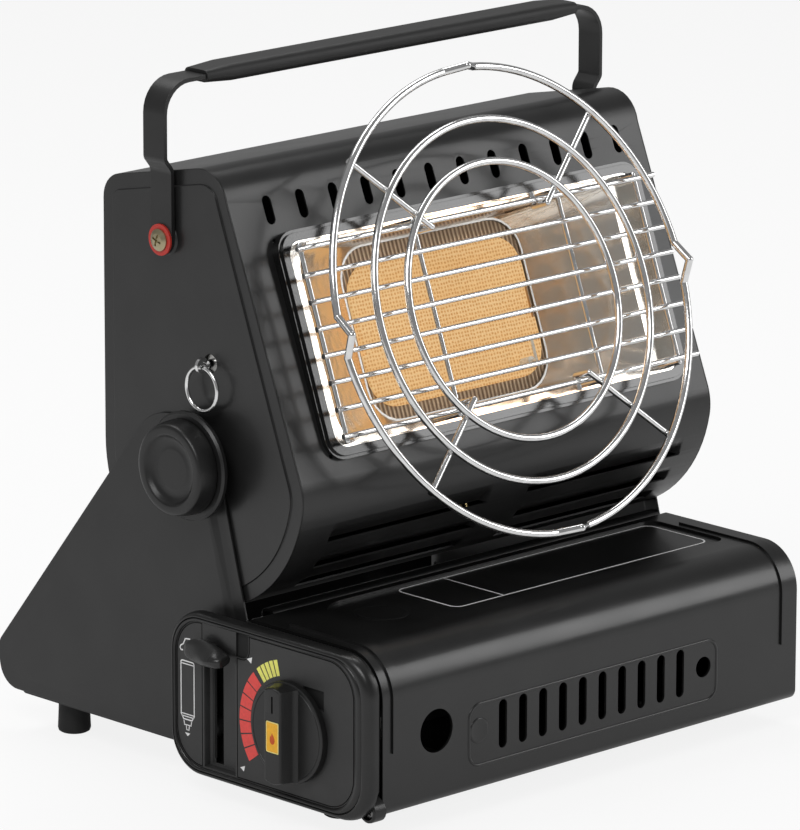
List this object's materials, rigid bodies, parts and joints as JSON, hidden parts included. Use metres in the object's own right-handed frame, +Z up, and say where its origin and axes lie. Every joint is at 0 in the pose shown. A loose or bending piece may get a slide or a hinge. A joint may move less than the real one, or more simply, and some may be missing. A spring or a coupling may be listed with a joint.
{
  "type": "portable gas cartridge heater",
  "caption": "Portable radiant heater: a tilting box-shaped burner head with grille and round guard, on a low stand with a cartridge housing, dial, lever and carrying handle.",
  "frame": {"origin": "middle of the bounding box in plan, on the ground under the rubber feet", "axes": "+X to the right seen from the front, +Y to the rear, +Z up; the control panel is on the left"},
  "size_m": [0.3022, 0.2596, 0.3168],
  "materials": {
    "black_steel": "black semi-gloss powder coat on sheet steel",
    "plastic": "black moulded plastic",
    "grip": "black soft sleeve",
    "rubber": "black rubber",
    "amber": "amber plastic",
    "red_washer": "red plastic",
    "zinc": "zinc plated steel",
    "aluminium": "die cast",
    "brass": "turned",
    "bright": "nickel plated",
    "chrome": "chrome plated wire",
    "reflector": "polished stainless sheet",
    "plaque": "pierced ceramic",
    "porcelain": "glazed"
  },
  "bodies": {
    "stand": {"side_plate_left": "black_steel", "side_plate_right": "black_steel", "floor_pan": "black_steel", "bay_rear_wall": "black_steel", "cartridge_cradle": "zinc", "valve_bracket": "zinc", "gas_regulator": "aluminium", "outlet_nipple": "brass", "piezo_igniter": "plastic", "control_panel": "plastic", "panel_screws": "bright", "rubber_feet": "rubber", "foot_rivets": "bright", "cover_hinge_pins": "bright", "clamp_disc_left": "plastic", "clamp_disc_right": "plastic", "index_plate": "zinc", "pivot_bush_right": "zinc"},
    "cover": {"cartridge_cover": "black_steel"},
    "dial": {"control_dial": "plastic", "dial_insert": "amber", "valve_spindle": "bright"},
    "lever": {"cartridge_lever": "plastic"},
    "claw": {"cartridge_claw": "zinc"},
    "head": {"head_shell": "black_steel", "head_side_left": "black_steel", "head_side_right": "black_steel", "head_back": "black_steel", "window_frame": "black_steel", "reflector": "reflector", "ceramic_plaque": "plaque", "plaque_holder": "reflector", "burner_box": "zinc", "mixing_tube": "zinc", "gas_injector": "brass", "ignition_electrode": "porcelain", "grille": "chrome", "grille_posts": "chrome", "guard_rings": "chrome", "pivot_cup_left": "zinc", "pivot_cup_right": "zinc", "pivot_stud_left": "bright", "pivot_stud_right": "bright", "lock_pin_bush": "zinc", "handle_screws": "bright", "handle_bosses": "plastic", "back_screws": "bright"},
    "handle": {"handle_strap": "black_steel", "grip_sleeve": "grip", "handle_washers": "red_washer"},
    "knob_left": {"clamp_knob_left": "plastic"},
    "knob_right": {"clamp_knob_right": "plastic"},
    "lock": {"lock_pin": "bright"},
    "ring": {"pull_ring": "bright"}
  },
  "joints": [
    {"name": "head_tilt", "type": "hinge", "parent": "stand", "child": "head", "pos_m": [0.0036, -0.00596, 0.1465], "axis": [-1, 0, 0], "range_deg": [0, 69.6]},
    {"name": "cover_open", "type": "hinge", "parent": "stand", "child": "cover", "pos_m": [0.0036, -0.11596, 0.017], "axis": [1, 0, 0], "range_deg": [0, 36]},
    {"name": "dial_turn", "type": "hinge", "parent": "stand", "child": "dial", "pos_m": [-0.1464, -0.07926, 0.0435], "axis": [-1, 0, 0], "range_deg": [0, 150]},
    {"name": "lever_slide", "type": "slide", "parent": "stand", "child": "lever", "axis": [0, 0, -1], "range_m": [0, 0.044]},
    {"name": "claw_slide", "type": "slide", "parent": "stand", "child": "claw", "axis": [-1, 0, 0], "range_m": [0, 0.0025]},
    {"name": "handle_swing", "type": "hinge", "parent": "head", "child": "handle", "pos_m": [0.0036, 0.01604, 0.243], "axis": [1, 0, 0], "range_deg": [-105, 35]},
    {"name": "knob_left_turn", "type": "hinge", "parent": "head", "child": "knob_left", "pos_m": [-0.1364, -0.00596, 0.1465], "axis": [-1, 0, 0], "range_deg": [0, 180]},
    {"name": "knob_right_turn", "type": "hinge", "parent": "head", "child": "knob_right", "pos_m": [0.1436, -0.00596, 0.1465], "axis": [1, 0, 0], "range_deg": [0, 180]},
    {"name": "lock_pull", "type": "slide", "parent": "head", "child": "lock", "axis": [-1, 0, 0], "range_m": [-0.002, 0.002], "stiffness_N_per_m": 100, "springref_m": -0.002},
    {"name": "ring_swing", "type": "hinge", "parent": "lock", "child": "ring", "pos_m": [-0.1294, -0.01195, 0.19201], "axis": [0, 1, 0], "range_deg": [0, 90]}
  ],
  "couplings": [
    {"joint": "claw_slide", "follows": "lever_slide", "ratio": 0.056818}
  ]
}
